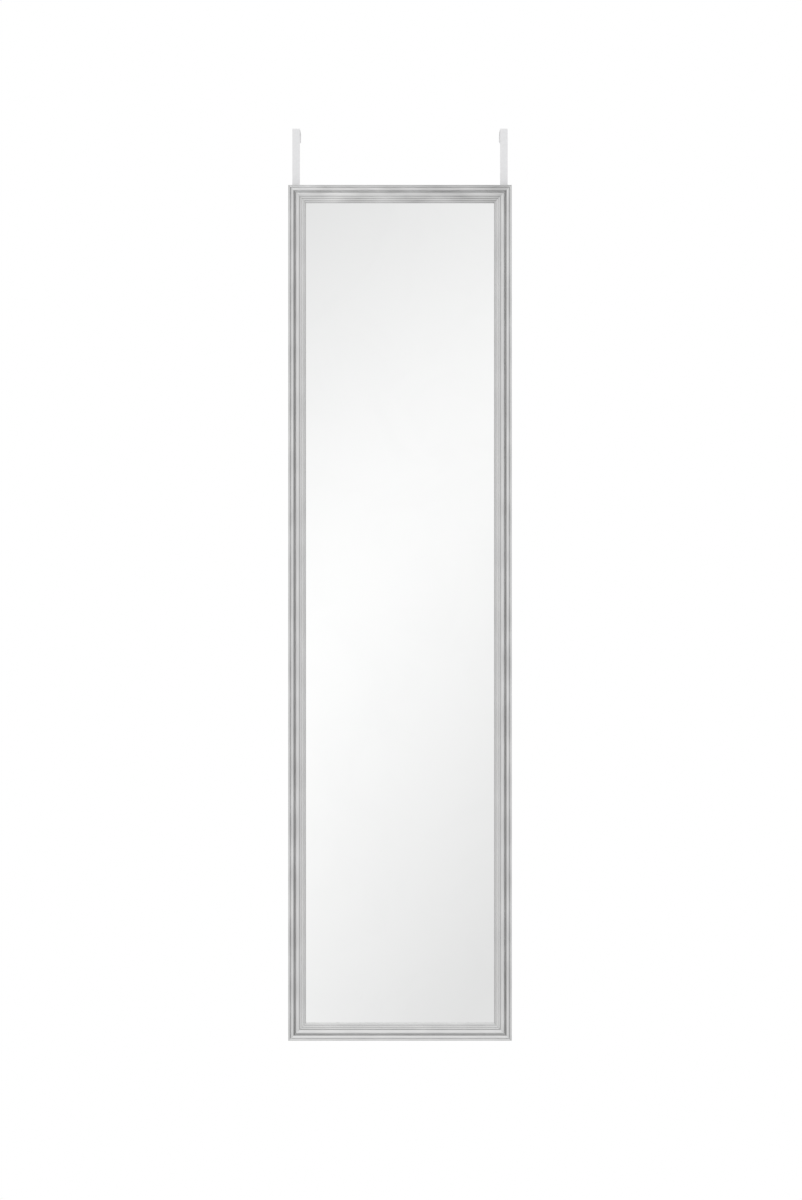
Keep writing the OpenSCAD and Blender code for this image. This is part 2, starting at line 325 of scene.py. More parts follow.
def start_outline(name, point):
    """A new piece whose mesh is one point, from which an outline is drawn."""
    clear_selection()
    bpy.ops.mesh.primitive_plane_add(size=MM, location=point)
    piece = named(name)
    bpy.ops.object.transform_apply(location=True)
    bpy.ops.object.mode_set(mode="EDIT")
    bpy.ops.mesh.select_mode(type="VERT")
    bpy.ops.mesh.merge(type="CENTER")
    return piece


def line_to(point):
    tip = next(vertex for vertex in edit_mesh().verts if vertex.select)
    bpy.ops.mesh.extrude_region_move(TRANSFORM_OT_translate={"value": point - tip.co})


def arc(centre, axis, angle, steps):
    bpy.ops.mesh.spin(steps=steps, angle=angle, center=centre, axis=axis)


def close_outline():
    select_whole_mesh()
    bpy.ops.mesh.edge_face_add()


def round_outline_corners(offset, segments, sharper_than):
    def is_corner(vertex):
        ways = [(edge.other_vert(vertex).co - vertex.co).normalized() for edge in vertex.link_edges]
        return math.pi - ways[0].angle(ways[1]) > math.radians(sharper_than)

    select_where("VERT", is_corner)
    bpy.ops.mesh.bevel(offset=offset, segments=segments, affect="VERTICES")


def extrude_whole_mesh(shift):
    select_whole_mesh()
    bpy.ops.mesh.extrude_region_move(TRANSFORM_OT_translate={"value": shift})


def spin_outline(centre, axis):
    """Turns the drawn half section into a round solid."""
    select_whole_mesh()
    bpy.ops.mesh.spin(steps=LATHE_STEPS, angle=FULL_TURN, center=centre, axis=axis)
    close_up_mesh()
    clear_selection()


def prism(name, corners, shift):
    """A straight-sided solid, drawn round its corners and then extruded."""
    piece = start_outline(name, corners[0])
    for corner in corners[1:]:
        line_to(corner)
    close_outline()
    extrude_whole_mesh(shift)
    close_up_mesh()
    clear_selection()
    return piece


def block(name, low, high):
    """A box primitive between two corners, left in object mode."""
    clear_selection()
    bpy.ops.mesh.primitive_cube_add(size=1, location=(low + high) / 2, scale=high - low)
    piece = named(name)
    bpy.ops.object.transform_apply(location=True, rotation=True, scale=True)
    return piece


def apply_modifier(piece, kind, **settings):
    take_up(piece)
    modifier = piece.modifiers.new(kind.lower(), kind)
    for name, value in settings.items():
        setattr(modifier, name, value)
    bpy.ops.object.modifier_apply(modifier=modifier.name)


def cut_with(piece, cutter):
    apply_modifier(piece, "BOOLEAN", operation="DIFFERENCE", solver="EXACT", object=cutter)
    bpy.data.objects.remove(cutter)


def round_edges(piece, width, segments=2, clamp=True):
    """Rounds the sharp edges. Clamped, all of them get what the tightest has room for."""
    apply_modifier(
        piece, "BEVEL", width=width, segments=segments, limit_method="ANGLE",
        angle_limit=SHARP_EDGE, use_clamp_overlap=clamp, miter_outer="MITER_ARC",
    )


def smooth(piece, sharper_than=40):
    take_up(piece)
    bpy.ops.object.shade_smooth_by_angle(angle=math.radians(sharper_than))
    apply_modifier(piece, "WEIGHTED_NORMAL", mode="FACE_AREA_WITH_ANGLE", keep_sharp=True)


def copy_of(piece, name, shift=(0, 0, 0)):
    take_up(piece)
    bpy.ops.object.duplicate(linked=False)
    return shifted(named(name), shift)


def shifted(piece, shift):
    edit(piece)
    select_whole_mesh()
    move_selected(shift)
    clear_selection()
    return piece


def turn(piece, degrees, centre):
    """Turns a piece about the line along Y through the centre."""
    edit(piece)
    select_whole_mesh()
    bpy.ops.transform.rotate(value=math.radians(degrees), orient_axis="Y", center_override=centre)
    clear_selection()


def join(name, pieces):
    clear_selection()
    for piece in pieces:
        piece.select_set(True)
    bpy.context.view_layer.objects.active = pieces[0]
    bpy.ops.object.join()
    return named(name)


def finish_with(piece, *materials):
    piece.data.materials.clear()
    for material in materials:
        piece.data.materials.append(material)


def hand_over(piece, body, slot, *nodes):
    """The piece rides on its body and stands for its CAD nodes, which it hides. The slot is not
    used.
    """
    clear_selection()
    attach(piece, body)
    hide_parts(*nodes)


# ------------------------------------ working with shader nodes
def feed(tree, socket, value):
    """Links a socket to another node's output, or sets it to a value."""
    if isinstance(value, bpy.types.NodeSocket):
        tree.links.new(value, socket)
    else:
        socket.default_value = value


def add_node(tree, kind, sockets=None, **settings):
    """Adds a node and feeds its sockets."""
    node = tree.nodes.new("ShaderNode" + kind)
    for name, value in settings.items():
        setattr(node, name, value)
    for name, value in (sockets or {}).items():
        feed(tree, node.inputs[name], value)
    return node


def calculate(tree, operation, *values):
    return add_node(tree, "Math", dict(enumerate(values)), operation=operation).outputs[0]


def product(tree, first, second):
    return calculate(tree, "MULTIPLY", first, second)


def total(tree, first, *others):
    for other in others:
        first = calculate(tree, "ADD", first, other)
    return first


def remap(tree, value, from_low, from_high, to_low=0.0, to_high=1.0):
    sockets = {
        "Value": value, "From Min": from_low, "From Max": from_high,
        "To Min": to_low, "To Max": to_high,
    }
    return add_node(tree, "MapRange", sockets, clamp=True).outputs["Result"]


def between(tree, share, low, high):
    """A value that goes from low to high while the share goes from 0 to 1."""
    return remap(tree, share, 0.0, 1.0, low, high)


def blend_colours(tree, share, first, second, mode="MIX"):
    node = add_node(tree, "Mix", data_type="RGBA", blend_type=mode)
    for identifier, value in (("Factor_Float", share), ("A_Color", first), ("B_Color", second)):
        feed(tree, next(s for s in node.inputs if s.identifier == identifier), value)
    return next(s for s in node.outputs if s.identifier == "Result_Color")


def mix_shaders(tree, share, first, second):
    return add_node(tree, "MixShader", {0: share, 1: first.outputs[0], 2: second.outputs[0]})


def noise(tree, vector, scale=1.0, detail=2.0, roughness=0.5, distortion=0.0):
    sockets = {
        "Vector": vector, "Scale": scale, "Detail": detail, "Roughness": roughness,
        "Distortion": distortion,
    }
    return add_node(tree, "TexNoise", sockets).outputs["Fac"]


def stretched(tree, vector, scale=(1, 1, 1), turned=0):
    """The vector scaled along each axis, and turned about Y by some degrees."""
    sockets = {"Vector": vector, "Scale": scale, "Rotation": (0, math.radians(turned), 0)}
    return add_node(tree, "Mapping", sockets).outputs["Vector"]


def new_group(name, inputs, outputs):
    """A shader group with float inputs and outputs, and a vector where the name is Vector."""
    tree = bpy.data.node_groups.new(name, "ShaderNodeTree")
    for names, in_out in ((inputs, "INPUT"), (outputs, "OUTPUT")):
        for socket in names:
            kind = "NodeSocketVector" if socket == "Vector" else "NodeSocketFloat"
            tree.interface.new_socket(name=socket, in_out=in_out, socket_type=kind)
    source = tree.nodes.new("NodeGroupInput")
    sink = tree.nodes.new("NodeGroupOutput")
    return tree, source.outputs, sink.inputs


def use_group(tree, group, vector, **values):
    sockets = {"Vector": vector}
    sockets.update(values)
    return add_node(tree, "Group", sockets, node_tree=group).outputs


def new_material(name):
    """A material and its tree, its shader and the object coordinates that its patterns read."""
    material = bpy.data.materials.new(name)
    material.use_nodes = True
    tree = material.node_tree
    place = add_node(tree, "TexCoord").outputs["Object"]
    return material, tree, tree.nodes["Principled BSDF"], place


def paint(tree, shader, colour, roughness, metallic=0.0):
    feed(tree, shader.inputs["Base Color"], colour)
    feed(tree, shader.inputs["Roughness"], roughness)
    feed(tree, shader.inputs["Metallic"], metallic)


def bump(tree, shader, height, distance, strength):
    node = add_node(tree, "Bump", {"Height": height, "Distance": distance, "Strength": strength})
    feed(tree, shader.inputs["Normal"], node.outputs["Normal"])


def rgb(red, green, blue):
    return (red, green, blue, 1.0)


def grey(value, warmth=0.0):
    """A neutral colour, or a slightly warm or cool one."""
    return rgb(value * (1 + warmth), value, value * (1 - warmth))


# ------------------------------------ shared surface effects
def make_brushed_streaks():
    """Streaks that run along X: hairlines, brush lines, smoky bands and slow patches."""
    tree, source, sink = new_group("brushed_streaks", ["Vector"], ["Tone", "Lines", "Patches"])

    def layer(along, across, detail, roughness):
        scaled = stretched(tree, source["Vector"], (along, across, across))
        return noise(tree, scaled, detail=detail, roughness=roughness)

    hairlines = layer(along=70, across=3800, detail=2.0, roughness=0.6)
    lines = layer(along=30, across=1600, detail=3.0, roughness=0.55)
    smoke = layer(along=22, across=60, detail=1.5, roughness=0.4)
    patches = layer(along=7, across=14, detail=2.0, roughness=0.5)
    fine = total(tree, product(tree, hairlines, 0.3), product(tree, lines, 0.7))
    wide = total(tree, product(tree, smoke, 0.7), product(tree, patches, 0.3))
    tone = total(tree, product(tree, fine, 0.6), product(tree, wide, 0.75), -0.175)
    feed(tree, sink["Tone"], remap(tree, tone, 0.34, 0.66))
    feed(tree, sink["Lines"], fine)
    feed(tree, sink["Patches"], patches)
    return tree


def make_roller_blotches():
    """Smoky blotches from -1 to 1 that come back along X with every turn of the printing roller."""
    tree, source, sink = new_group("roller_blotches", ["Vector"], ["Blotch"])
    along = add_node(tree, "SeparateXYZ", {"Vector": source["Vector"]}).outputs["X"]
    patches = stretched(tree, source["Vector"], (12, 110, 110))
    drift = noise(tree, patches, detail=1.0, roughness=0.4)
    angle = total(
        tree, product(tree, along, FULL_TURN / ROLLER_GIRTH), ROLLER_START,
        product(tree, drift, BLOTCH_DRIFT),
    )
    feed(tree, sink["Blotch"], calculate(tree, "COSINE", angle))
    return tree


def make_handling_marks():
    """Faint smudges, and dust 40 times finer, for the gloss and the colour."""
    tree, source, sink = new_group("handling_marks", ["Vector", "Scale"], ["Smudge", "Dust"])
    smudge = noise(
        tree, source["Vector"], source["Scale"], detail=4.0, roughness=0.6, distortion=0.8,
    )
    feed(tree, sink["Smudge"], remap(tree, smudge, 0.42, 0.68))
    specks = noise(tree, source["Vector"], product(tree, source["Scale"], 40.0), detail=1.0)
    feed(tree, sink["Dust"], remap(tree, specks, 0.66, 0.74))
    return tree


def make_fine_grain():
    """A pebbled skin with a coarser unevenness under it, as in paint, foam and moulded rubber."""
    tree, source, sink = new_group("fine_grain", ["Vector", "Scale"], ["Height", "Tone"])
    sockets = {"Vector": source["Vector"], "Scale": source["Scale"]}
    cells = add_node(tree, "TexVoronoi", sockets, feature="SMOOTH_F1").outputs["Distance"]
    soft = noise(tree, source["Vector"], product(tree, source["Scale"], 0.35), detail=3.0)
    feed(tree, sink["Height"], total(tree, product(tree, cells, 0.5), soft))
    feed(tree, sink["Tone"], remap(tree, soft, 0.3, 0.7))
    return tree


brushed_streaks = make_brushed_streaks()
roller_blotches = make_roller_blotches()
handling_marks = make_handling_marks()
fine_grain = make_fine_grain()


# ------------------------------------ materials
def make_silver_foil(name, darker, lighter, dullness, turned=0, streakiness=1.0, blotches=0.0):
    """Brushed silver foil, streaked along its moulding, under the dark glaze that its mesh has,
    which also paints shade into the hollows.
    """
    material, tree, shader, place = new_material(name)
    along = stretched(tree, place, turned=turned)
    streaks = use_group(tree, brushed_streaks, along)
    printed = use_group(tree, roller_blotches, along)
    marks = use_group(tree, handling_marks, place, Scale=14.0)
    smokiness = add_node(tree, "Attribute", attribute_name="smokiness").outputs["Fac"]
    streak = product(tree, calculate(tree, "SUBTRACT", streaks["Tone"], 0.5), streakiness)
    smoke = total(tree, streak, product(tree, printed["Blotch"], blotches))
    tone = total(tree, 0.5, product(tree, smoke, smokiness))
    silver = blend_colours(tree, tone, grey(darker), grey(lighter))
    tint = blend_colours(tree, streaks["Patches"], rgb(0.994, 0.997, 1.0), rgb(1.0, 0.998, 0.99))
    silver = blend_colours(tree, 1.0, silver, tint, "MULTIPLY")
    # The glaze darkens the silver towards dark grey: a glaze in the hollows that also paints the
    # shade there.
    thickness = add_node(tree, "Attribute", attribute_name="glaze_and_shade").outputs["Fac"]
    glaze_and_shade = product(tree, thickness, remap(tree, streaks["Patches"], 0.3, 0.7, 0.75, 1.0))
    colour = blend_colours(tree, glaze_and_shade, silver, grey(0.12))
    roughness = total(
        tree, remap(tree, streaks["Lines"], 0.3, 0.7, dullness - 0.045, dullness + 0.045),
        product(tree, marks["Smudge"], 0.05), product(tree, glaze_and_shade, 0.4),
    )
    paint(tree, shader, colour, roughness, metallic=1.0)
    bump(tree, shader, streaks["Lines"], distance=0.05 * MM, strength=0.6)
    return material


def make_skin(name, grains, shades, roughness, relief, strength, dust=None, extras=None):
    """A dull skin, grained between two shades. Where dust is given, as its share and its shade, it
    shows on the skin, and smudges change the gloss, which the grain does otherwise."""
    material, tree, shader, place = new_material(name)
    grain = use_group(tree, fine_grain, place, Scale=grains)
    colour = blend_colours(tree, grain["Tone"], *shades)
    dulled = grain["Tone"]
    if dust:
        marks = use_group(tree, handling_marks, place, Scale=60.0)
        colour = blend_colours(tree, product(tree, marks["Dust"], dust[0]), colour, dust[1])
        dulled = marks["Smudge"]
    paint(tree, shader, colour, between(tree, dulled, *roughness))
    bump(tree, shader, grain["Height"], relief, strength)
    for socket, value in (extras or {}).items():
        feed(tree, shader.inputs[socket], value)
    return material


def make_silvered_glass():
    material, tree, shader, place = new_material("silvered_glass")
    smudge = use_group(tree, handling_marks, place, Scale=9.0)["Smudge"]
    colour = blend_colours(tree, smudge, rgb(0.984, 0.987, 0.985), rgb(0.974, 0.977, 0.975))
    paint(tree, shader, colour, between(tree, smudge, 0.008, 0.02), metallic=1.0)
    return material


def make_hardboard():
    """Brown hardboard with its rough side out: pressed fibres over the print of a wire screen."""
    material, tree, shader, place = new_material("hardboard")
    fibres = [
        noise(tree, stretched(tree, place, scale, turned), detail=5.0, roughness=0.7)
        for scale, turned in (((350, 350, 900), 25), ((900, 350, 300), -20))
    ]
    fibre_mix = product(tree, total(tree, *fibres), 0.5)
    patches = noise(tree, place, scale=7.0, detail=3.0)
    brown = blend_colours(
        tree, remap(tree, fibre_mix, 0.35, 0.65), rgb(0.20, 0.115, 0.06), rgb(0.42, 0.27, 0.155),
    )
    stained = remap(tree, patches, 0.35, 0.7, 0.0, 0.35)
    colour = blend_colours(tree, stained, brown, rgb(0.22, 0.14, 0.08))
    paint(tree, shader, colour, remap(tree, fibre_mix, 0.35, 0.65, 0.62, 0.8))
    sockets = {"Vector": place, "Scale": 160.0, "Distortion": 0.6, "Detail": 1.0}
    wires = [
        add_node(tree, "TexWave", sockets, bands_direction=way).outputs["Fac"] for way in ("X", "Z")
    ]
    height = total(tree, product(tree, *wires), product(tree, fibre_mix, 0.8))
    bump(tree, shader, height, distance=0.18 * MM, strength=0.8)
    return material


def make_zinc_plate():
    """Zinc plate with a faint yellow and blue bloom."""
    material, tree, shader, place = new_material("zinc_plate")
    smudge = use_group(tree, handling_marks, place, Scale=240.0)["Smudge"]
    bloom = noise(tree, place, scale=420.0)
    colour = blend_colours(tree, bloom, rgb(0.60, 0.63, 0.68), rgb(0.74, 0.71, 0.62))
    paint(tree, shader, colour, between(tree, smudge, 0.24, 0.42), metallic=1.0)
    return material


def make_spring_steel():
    material, tree, shader, place = new_material("spring_steel")
    streaks = use_group(tree, brushed_streaks, place)
    colour = blend_colours(tree, streaks["Tone"], grey(0.30, 0.02), grey(0.50))
    paint(tree, shader, colour, remap(tree, streaks["Lines"], 0.3, 0.7, 0.3, 0.5), metallic=1.0)
    return material


# One silver foil, copied for the uprights, the top and the bottom, with each copy's shades set to
# paint the light that falls on that side; the bottom is painted lightest.
upright_foil_painted_light = make_silver_foil(
    "silver_foil_upright_painted_light", darker=0.695, lighter=0.887, dullness=0.375, turned=90,
    streakiness=0.75, blotches=0.125,
)
top_foil_painted_light = make_silver_foil("silver_foil_top_painted_light", darker=0.725, lighter=0.965, dullness=0.50)
bottom_foil_painted_light = make_silver_foil("silver_foil_bottom_painted_light", darker=0.85, lighter=0.955, dullness=0.375)
# The moulding's bare foamed plastic, where the foil ends.
foamed_core = make_skin(
    "foamed_core", grains=1600.0, shades=(grey(0.60, 0.02), grey(0.68, 0.015)),
    roughness=(0.62, 0.78), relief=0.12 * MM, strength=0.7, dust=(0.5, grey(0.4, 0.03)),
)
silvered_glass = make_silvered_glass()
ground_glass_edge = make_skin(
    "ground_glass_edge", grains=2500.0, shades=(rgb(0.30, 0.42, 0.38), rgb(0.42, 0.54, 0.49)),
    roughness=(0.45, 0.6), relief=0.05 * MM, strength=0.5,
)
# The grey paint that guards the silver on the back of the glass.
mirror_back_paint = make_skin(
    "mirror_back_paint", grains=500.0, shades=(grey(0.20, -0.03), grey(0.25, -0.03)),
    roughness=(0.4, 0.5), relief=0.05 * MM, strength=0.4,
)
hardboard = make_hardboard()
# The hooks' powder coat: a low orange peel, with grey rub marks.
white_powder_coat = make_skin(
    "white_powder_coat", grains=700.0, shades=(rgb(0.765, 0.765, 0.773), rgb(0.80, 0.80, 0.808)),
    roughness=(0.36, 0.46), relief=0.06 * MM, strength=0.35, dust=(0.35, grey(0.62)),
)
closed_cell_foam = make_skin(
    "closed_cell_foam", grains=2200.0, shades=(grey(0.70, 0.01), grey(0.80, 0.01)),
    roughness=(0.8, 0.92), relief=0.14 * MM, strength=0.8, extras={"Sheen Weight": 0.15},
)
zinc_plate = make_zinc_plate()
spring_steel = make_spring_steel()
# The bumpers' soft plastic, which lets a little light in.
frosted_plastic = make_skin(
    "frosted_plastic", grains=1300.0, shades=(grey(0.66), grey(0.76)), roughness=(0.38, 0.5),
    relief=0.04 * MM, strength=0.5,
    extras={"Subsurface Weight": 0.3, "Subsurface Radius": (1.5 * MM, 1.5 * MM, 1.5 * MM)},
)


# ------------------------------------ the frame's mouldings
def arc_radius(width, crown):
    return (width * width / 4 + crown * crown) / (2 * crown)


def draw_moulding_section(at):
    """Draws the section from its outer back corner, over the front and along the back."""
    for start, width, crest, crown in BEADS:
        if start == TORUS_S:
            line_to(at(QUIRK_S, QUIRK_FLOOR_H))
            line_to(at(TORUS_S, QUIRK_FLOOR_H))
        radius = arc_radius(width, crown)
        angle = 2 * math.asin(width / 2 / radius)
        line_to(at(start, crest - crown))
        arc(at(start + width / 2, crest - radius), X_AXIS, angle, BEAD_STEPS)
    line_to(at(MOULDING_W, RABBET_D))
    line_to(at(RABBET_S, RABBET_D))
    line_to(at(RABBET_S, 0))
    for groove in (RABBET_S - BACK_GROOVE_INSET - BACK_GROOVE_W, BACK_GROOVE_INSET):
        line_to(at(groove + BACK_GROOVE_W, 0))
        line_to(at(groove + BACK_GROOVE_W, BACK_GROOVE_D))
        line_to(at(groove, BACK_GROOVE_D))
        line_to(at(groove, 0))


def cut_mitre(end, lean):
    """Saws off one end at 45 degrees and eases the edge of the sawn face."""
    select_whole_mesh()
    bpy.ops.mesh.bisect(plane_co=end, plane_no=(lean, 0, -1), use_fill=True, clear_inner=True)
    select_whole_mesh()
    bpy.ops.mesh.normals_make_consistent(inside=False)
    facing = Vector((-lean, 0, 1)).normalized()
    select_where("FACE", lambda face: face.normal.dot(facing) > ALIGNED)
    bpy.ops.mesh.inset(thickness=MITRE_EASE)
    inner = {vertex.index for vertex in edit_mesh().verts if vertex.select}

    def on_rim(vertex):
        return vertex.index not in inner and abs((vertex.co - end).dot(facing)) < NEGLIGIBLE

    select_where("VERT", on_rim)
    move_selected((lean * MITRE_EASE, 0, 0))


def is_bare(face, corner):
    """The foil covers the front, the sides and the rim of the back. The rest is bare core."""
    across = face.calc_center_median().z - corner.z
    height = corner.y - face.calc_center_median().y
    sawn = abs(face.normal.x) > SAWN_LEAN and abs(face.normal.y) < SAWN_TILT
    in_rabbet = across > RABBET_S - SECTION_CORNER and height < RABBET_D + SECTION_CORNER
    on_back = across > BACK_GROOVE_INSET and height < BACK_GROOVE_D + SECTION_CORNER
    return sawn or in_rabbet or on_back


def make_moulding(name, run, across):
    """A mitred length along X, drawn on the lower side of a frame that is as high as across."""
    corner = Vector((-run / 2, FRAME_BACK, FRAME_MID_Z - across / 2))

    def at(distance, height):
        return corner + Vector((0, -height, distance))

    piece = start_outline(name, at(0, 0))
    draw_moulding_section(at)
    close_outline()
    round_outline_corners(SECTION_CORNER, segments=3, sharper_than=22)
    extrude_whole_mesh(X_AXIS * run)
    cut_mitre(corner, 1)
    cut_mitre(corner + X_AXIS * run, -1)
    close_up_mesh()
    finish_with(piece, foamed_core, foamed_core)
    select_where("FACE", lambda face: is_bare(face, corner))
    give_selected(piece, 1)
    smooth(piece, sharper_than=35)
    return piece


def glaze_and_shade_at(across, glaze_and_shade):
    """How thick the glaze, with the shade it paints, lies at a distance across the moulding."""
    def on_line(name):
        place, reach = GLAZE_AND_SHADE_LINES[name]
        return glaze_and_shade[name] * max(0.0, 1 - abs(across - place) / reach)

    return max(on_line(name) for name in GLAZE_AND_SHADE_LINES)


def wrap_in_foil(piece, foil, glaze_and_shade, calm_from=MOULDING_W, shade_gain=0.0):
    """Gives a moulding its foil while it still lies as it was drawn.

    The foil is less smoky from calm_from inwards. Its glaze grows by the given gain towards the end
    where X is least, as painted shade.
    """
    points = [vertex.co.copy() for vertex in piece.data.vertices]
    edge = min(point.z for point in points)
    end = max(point.x for point in points)
    run = end - min(point.x for point in points)

    def glaze_and_shade_on(point):
        return glaze_and_shade_at(point.z - edge, glaze_and_shade) + shade_gain * (end - point.x) / run

    def smokiness_on(point):
        return CALM_SMOKINESS if point.z - edge > calm_from + SECTION_CORNER else 1.0

    piece.data.materials[0] = foil
    for name, value_on in (("glaze_and_shade", glaze_and_shade_on), ("smokiness", smokiness_on)):
        attribute = piece.data.attributes.new(name, "FLOAT", "POINT")
        attribute.data.foreach_set("value", [value_on(point) for point in points])


def make_frame():
    bottom_rail = make_moulding("rail_bottom", FRAME_W, FRAME_H)
    top_rail = copy_of(bottom_rail, "rail_top")
    wrap_in_foil(bottom_rail, bottom_foil_painted_light, BOTTOM_GLAZE_AND_SHADE)
    wrap_in_foil(top_rail, top_foil_painted_light, TOP_GLAZE_AND_SHADE, shade_gain=TOP_SHADE_GAIN)
    turn(top_rail, 180, FRAME_MIDDLE)
    left_stile = make_moulding("stile_left", FRAME_H, FRAME_W)
    wrap_in_foil(left_stile, upright_foil_painted_light, UPRIGHT_GLAZE_AND_SHADE, calm_from=CALM_FROM)
    turn(left_stile, -90, FRAME_MIDDLE)
    right_stile = copy_of(left_stile, "stile_right")
    turn(right_stile, 180, FRAME_MIDDLE)
    hand_over(bottom_rail, "frame", "frame", "frame_bottom_rail")
    hand_over(top_rail, "frame", "frame", "frame_top_rail")
    hand_over(left_stile, "frame", "frame", "frame_left_stile")
    hand_over(right_stile, "frame", "frame", "frame_right_stile")


def make_corner_nails():
    """Bent steel nails over the mitres, modelled once in a lower corner and copied to all four."""
    along = Vector((1, 0, 1)).normalized()
    across = Vector((-1, 0, 1)).normalized()
    bend = NAIL_T * NAIL_LEG / NAIL_RISE
    outline = [
        (0, 0), (NAIL_LEG, NAIL_RISE), (NAIL_LEG, NAIL_RISE - NAIL_T), (bend, 0),
        (NAIL_LEG, NAIL_T - NAIL_RISE), (NAIL_LEG, -NAIL_RISE),
    ]
    lower = []
    for inset in NAIL_INSETS:
        tip = Vector((
            inset - FRAME_W / 2, FRAME_BACK + NAIL_PROUD, FRAME_MID_Z - FRAME_H / 2 + inset,
        ))
        corners = [tip + along * reach + across * side for reach, side in outline]
        left = prism("nail", corners, -Y_AXIS * (NAIL_D + NAIL_PROUD))
        round_edges(left, NAIL_EASE)
        right = copy_of(left, "nail")
        turn(right, 90, tip)
        lower += [left, shifted(right, X_AXIS * (FRAME_W - 2 * inset))]
    lower = join("nails", lower)
    upper = copy_of(lower, "nails")
    turn(upper, 180, FRAME_MIDDLE)
    piece = join("mitre_nails", [lower, upper])
    smooth(piece)
    finish_with(piece, spring_steel)
    hand_over(piece, "frame", "points", "corner_nails")


# ------------------------------------ glass, board and what holds them
def make_glass():
    piece = block("glass_plate", *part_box("mirror_glass"))
    finish_with(piece, silvered_glass, ground_glass_edge, mirror_back_paint)
    edit(piece)
    select_whole_mesh()
    bpy.ops.mesh.bevel(offset=GLASS_ARRIS, segments=2, affect="EDGES")
    for slot, facing in ((1, None), (0, -Y_AXIS), (2, Y_AXIS)):
        select_where("FACE", lambda face: facing is None or face.normal.dot(facing) > ALIGNED)
        give_selected(piece, slot)
    smooth(piece, sharper_than=50)
    hand_over(piece, "frame", "mirror", "mirror_glass")


def make_board():
    piece = block("hardboard_back", *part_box("backing_board"))
    round_edges(piece, BOARD_EASE)
    smooth(piece, sharper_than=50)
    finish_with(piece, hardboard)
    hand_over(piece, "frame", "board", "backing_board")


def make_retaining_points():
    """Flat tabs with an arrow tip, modelled once for the bottom side and copied round the frame."""
    board_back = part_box("backing_board")[1].y
    half = POINT_W / 2
    outline = [
        (-half, POINT_PROUD), (-half, half - POINT_SUNK), (0, -POINT_SUNK),
        (half, half - POINT_SUNK), (half, POINT_PROUD),
    ]

    def row(run, across):
        start = Vector((
            POINT_MARGIN - run / 2, board_back, FRAME_MID_Z - across / 2 + RABBET_S,
        ))
        corners = [start + Vector((x, 0, z)) for x, z in outline]
        first = prism("point", corners, Y_AXIS * POINT_T)
        round_edges(first, POINT_EASE)
        steps = max(1, math.ceil((run - 2 * POINT_MARGIN) / POINT_PITCH))
        pitch = X_AXIS * ((run - 2 * POINT_MARGIN) / steps)
        others = [copy_of(first, "point", pitch * (i + 1)) for i in range(steps)]
        return join("row", [first] + others)

    rows = [row(FRAME_W, FRAME_H), row(FRAME_H, FRAME_W)]
    turn(rows[1], 90, FRAME_MIDDLE)
    far_rows = [copy_of(near, "row") for near in rows]
    for far in far_rows:
        turn(far, 180, FRAME_MIDDLE)
    piece = join("glazing_points", rows + far_rows)
    smooth(piece)
    finish_with(piece, spring_steel)
    hand_over(piece, "frame", "points", "retaining_points")


# ------------------------------------ the door hooks
def draw_strap_section(low, high):
    """Draws the bent strap from the side: up the front leg, over the door and down the rear lip."""
    outer = STRAP_BEND_R + STRAP_T

    def point(y, z):
        return Vector((low.x, y, z))

    front_bend = point(low.y + outer, high.z - outer)
    rear_bend = point(high.y - outer, high.z - outer)
    lip_end = high.z - STRAP_LIP_L
    line_to(point(low.y, high.z - outer))
    arc(front_bend, X_AXIS, QUARTER_TURN, BEND_STEPS)
    line_to(point(high.y - outer, high.z))
    arc(rear_bend, X_AXIS, QUARTER_TURN, BEND_STEPS)
    line_to(point(high.y, lip_end))
    line_to(point(high.y - STRAP_T, lip_end))
    line_to(point(high.y - STRAP_T, high.z - outer))
    arc(rear_bend, -X_AXIS, QUARTER_TURN, BEND_STEPS)
    line_to(point(low.y + outer, high.z - STRAP_T))
    arc(front_bend, -X_AXIS, QUARTER_TURN, BEND_STEPS)
    line_to(point(low.y + STRAP_T, low.z))


def cut_slot(strap, middle):
    half = Vector((SLOT_W / 2, STRAP_T * 2, SLOT_L / 2))
    cutter = block("slot_cutter", middle - half, middle + half)
    edit(cutter)
    select_where("EDGE", lambda edge: abs(span(edge).y) > STRAP_T)
    bpy.ops.mesh.bevel(offset=SLOT_END_R, segments=10, affect="EDGES")
    clear_selection()
    cut_with(strap, cutter)


def make_strap():
    """The left hook: a flat steel strap with two slots, bent over the door."""
    low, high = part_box("hook_left")
    piece = start_outline("strap_left", low)
    draw_strap_section(low, high)
    close_outline()
    extrude_whole_mesh(X_AXIS * (high.x - low.x))
    close_up_mesh()

    def is_end_corner(edge):
        way = span(edge)
        return abs(abs(way.y) - STRAP_T) + abs(way.x) + abs(way.z) < NEGLIGIBLE

    select_where("EDGE", is_end_corner)
    bpy.ops.mesh.bevel(offset=STRAP_CORNER_R, segments=8, affect="EDGES")
    clear_selection()
    screws_low, screws_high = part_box("hook_left_screws")
    for z in (screws_low.z + SCREW_HEAD_D / 2, screws_high.z - SCREW_HEAD_D / 2):
        cut_slot(piece, Vector(((low.x + high.x) / 2, low.y + STRAP_T / 2, z)))
    round_edges(piece, STRAP_EDGE_R, segments=3, clamp=False)
    smooth(piece)
    finish_with(piece, white_powder_coat)
    return piece


